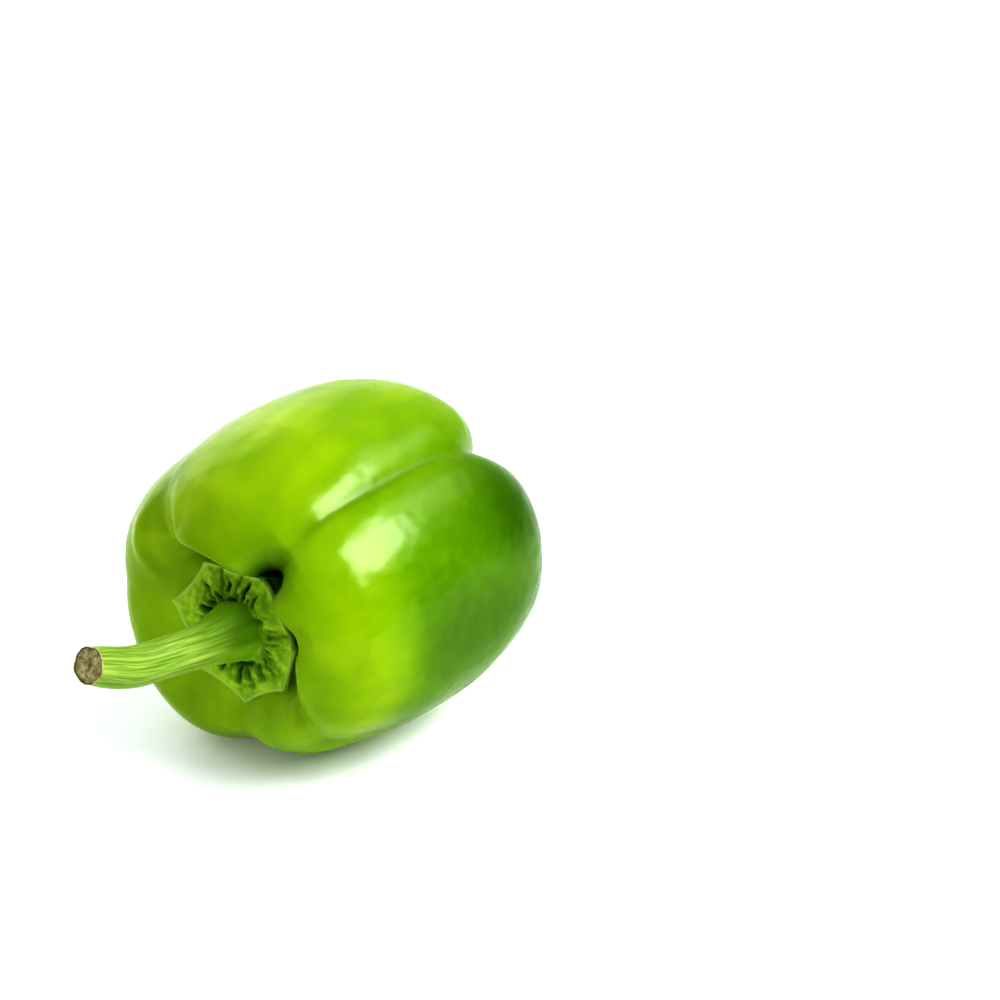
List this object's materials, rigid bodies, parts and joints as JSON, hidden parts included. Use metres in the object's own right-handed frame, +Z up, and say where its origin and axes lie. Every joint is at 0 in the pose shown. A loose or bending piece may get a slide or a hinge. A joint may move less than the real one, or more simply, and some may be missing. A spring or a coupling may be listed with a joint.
{
  "type": "bell pepper",
  "caption": "Blocky green bell pepper lying on its side, with lobes and grooves, a folded star-shaped calyx in the pit of its stem end and a ribbed, curved, cut stem.",
  "frame": {"origin": "on the surface that the pepper lies on, under the middle of its box", "axes": "+Z up, +Y along the fruit from its stem towards its blossom end, +X to the right seen from the stem"},
  "size_m": [0.0906, 0.138, 0.0891],
  "materials": {
    "skin": "smooth waxy pepper skin, bright yellow-green, glossy",
    "sepal": "dull leafy green calyx, wrinkled",
    "stem": "ribbed pale green stem with a dry brown cut end"
  },
  "bodies": {
    "root": {"fruit": "skin", "calyx": "sepal", "stem": "stem"}
  },
  "joints": []
}
